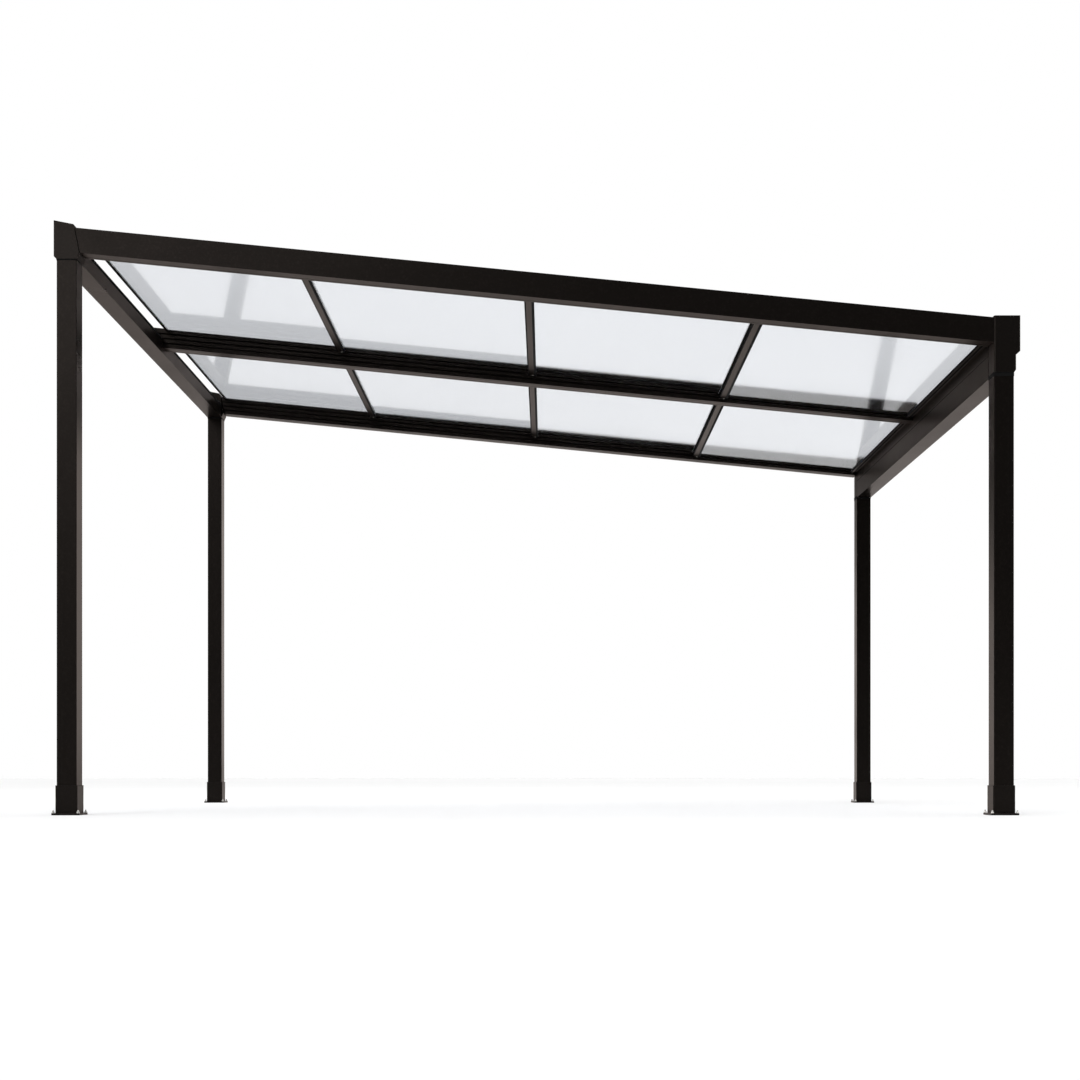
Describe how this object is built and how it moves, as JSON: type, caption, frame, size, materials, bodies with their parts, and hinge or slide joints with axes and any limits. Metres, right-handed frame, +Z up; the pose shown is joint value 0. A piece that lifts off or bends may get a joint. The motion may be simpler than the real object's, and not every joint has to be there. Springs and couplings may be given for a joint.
{
  "type": "attached patio cover",
  "caption": "Four-post patio cover with a single-slope roof of stepped clear panels between track rafters, a gutter beam on the low side and a wall flange on the high side.",
  "frame": {"origin": "on the ground, at the centre of the whole cover's box", "axes": "+X down the fall of the roof, from the high side to the gutter; +Y from front to rear; +Z up"},
  "size_m": [4.84, 3.01, 2.974],
  "materials": {
    "frame_coat": "satin warm-black powder coat",
    "casting_coat": "satin warm-black powder coat on castings",
    "rail_coat": "satin dark bronze powder coat",
    "clear_panel": "clear glossy glazing"
  },
  "bodies": {
    "root": {"post_front_high": "frame_coat", "post_rear_high": "frame_coat", "post_front_low": "frame_coat", "post_rear_low": "frame_coat", "foot_front_high": "casting_coat", "foot_rear_high": "casting_coat", "foot_front_low": "casting_coat", "foot_rear_low": "casting_coat", "high_beam": "frame_coat", "gutter_beam": "frame_coat", "rafter_front": "frame_coat", "rafter_middle": "frame_coat", "rafter_rear": "frame_coat", "high_cap_front": "casting_coat", "high_cap_rear": "casting_coat", "low_bracket_front": "casting_coat", "low_bracket_rear": "casting_coat", "roof_panel_front_1": "clear_panel", "roof_panel_front_2": "clear_panel", "roof_panel_front_3": "clear_panel", "roof_panel_front_4": "clear_panel", "roof_panel_rear_1": "clear_panel", "roof_panel_rear_2": "clear_panel", "roof_panel_rear_3": "clear_panel", "roof_panel_rear_4": "clear_panel", "step_rail_front_1": "rail_coat", "step_rail_front_2": "rail_coat", "step_rail_front_3": "rail_coat", "step_rail_rear_1": "rail_coat", "step_rail_rear_2": "rail_coat", "step_rail_rear_3": "rail_coat", "top_rail_front": "rail_coat", "top_rail_rear": "rail_coat", "drip_rail_front": "rail_coat", "drip_rail_rear": "rail_coat"}
  },
  "joints": []
}
